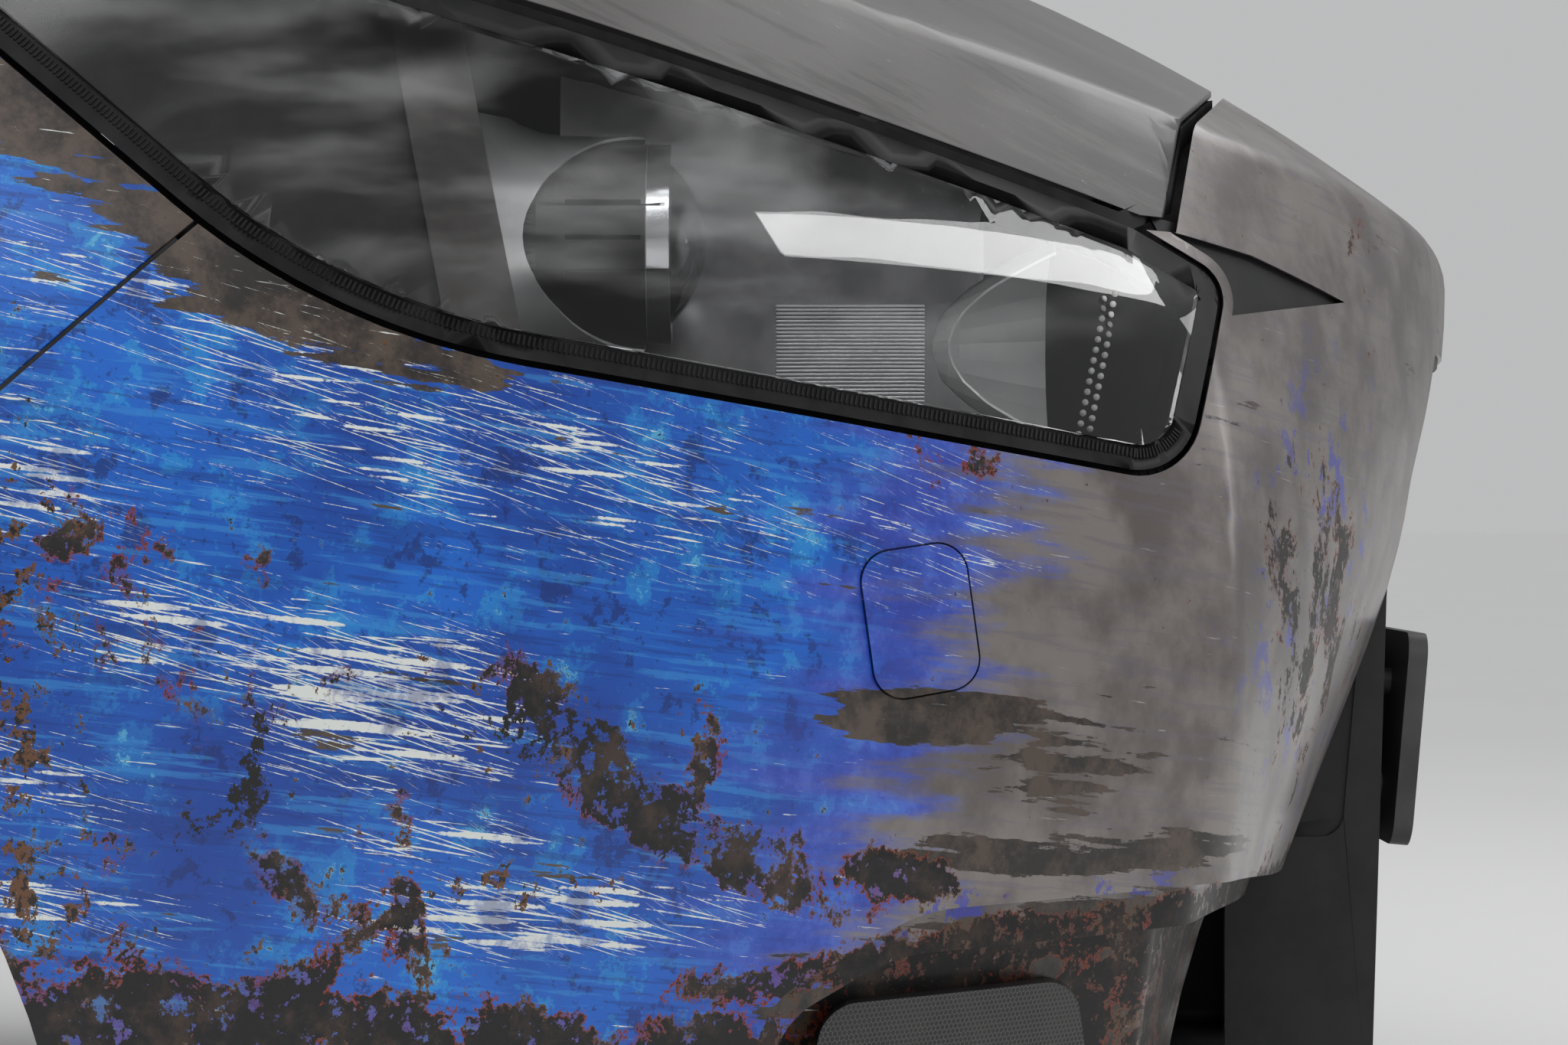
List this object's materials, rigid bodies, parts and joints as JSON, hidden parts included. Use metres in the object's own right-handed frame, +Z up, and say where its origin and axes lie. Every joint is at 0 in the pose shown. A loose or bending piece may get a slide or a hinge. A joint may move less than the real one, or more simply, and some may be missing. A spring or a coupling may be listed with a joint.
{
  "type": "rally car front end",
  "caption": "Front end of a rally hatchback: bumper, wings, hinged bonnet, lamps and the chassis legs that carry them.",
  "frame": {"origin": "centre of the bolt patterns on the rear faces of the two chassis-leg flanges", "axes": "+Z up, nose towards -Y, the car's right-hand side at -X"},
  "size_m": [1.7848, 1.3471, 0.9044],
  "materials": {
    "livery_blue": "satin",
    "satin_grey": "satin",
    "black_trim": "matte",
    "blank_plate": "satin",
    "lens_clear": "gloss",
    "lamp_metal": "polished",
    "lamp_grey": "satin",
    "primed_steel": "satin",
    "carrier_black": "matte",
    "core_aluminium": "satin"
  },
  "bodies": {
    "front_end": {"bumper_cover": "livery_blue", "washer_cap_right": "livery_blue", "washer_cap_left": "livery_blue", "wing_right": "livery_blue", "wing_left": "livery_blue", "centre_grille": "black_trim", "undertray": "black_trim", "upper_vent_right": "black_trim", "upper_vent_left": "black_trim", "fog_cover_right": "black_trim", "fog_cover_left": "black_trim", "arch_liner_right": "black_trim", "arch_liner_left": "black_trim", "headlamp_rim_right": "black_trim", "headlamp_rim_left": "black_trim", "headlamp_bezel_right": "black_trim", "headlamp_bezel_left": "black_trim", "headlamp_housing_right": "black_trim", "headlamp_housing_left": "black_trim", "plate_holder": "blank_plate", "headlamp_lens_right": "lens_clear", "headlamp_lens_left": "lens_clear", "projector_lens_right": "lens_clear", "projector_lens_left": "lens_clear", "headlamp_shroud_right": "lamp_metal", "headlamp_shroud_left": "lamp_metal", "beam_reflector_right": "lamp_metal", "beam_reflector_left": "lamp_metal", "headlamp_panel_right": "lamp_metal", "headlamp_panel_left": "lamp_metal", "projector_barrel_right": "lamp_grey", "projector_barrel_left": "lamp_grey", "crash_beam": "primed_steel", "hinge_bracket_right": "primed_steel", "hinge_bracket_left": "primed_steel", "apron_right": "primed_steel", "apron_left": "primed_steel", "chassis_leg_right": "primed_steel", "chassis_leg_left": "primed_steel", "front_carrier": "carrier_black", "radiator": "core_aluminium"},
    "bonnet": {"bonnet_skin": "satin_grey", "bonnet_frame": "primed_steel", "hinge_arm_right": "primed_steel", "hinge_arm_left": "primed_steel"}
  },
  "joints": [
    {"name": "bonnet_hinge", "type": "hinge", "parent": "front_end", "child": "bonnet", "pos_m": [0, 0.25, 0.494], "axis": [-1, 0, 0], "range_deg": [0, 60]}
  ]
}
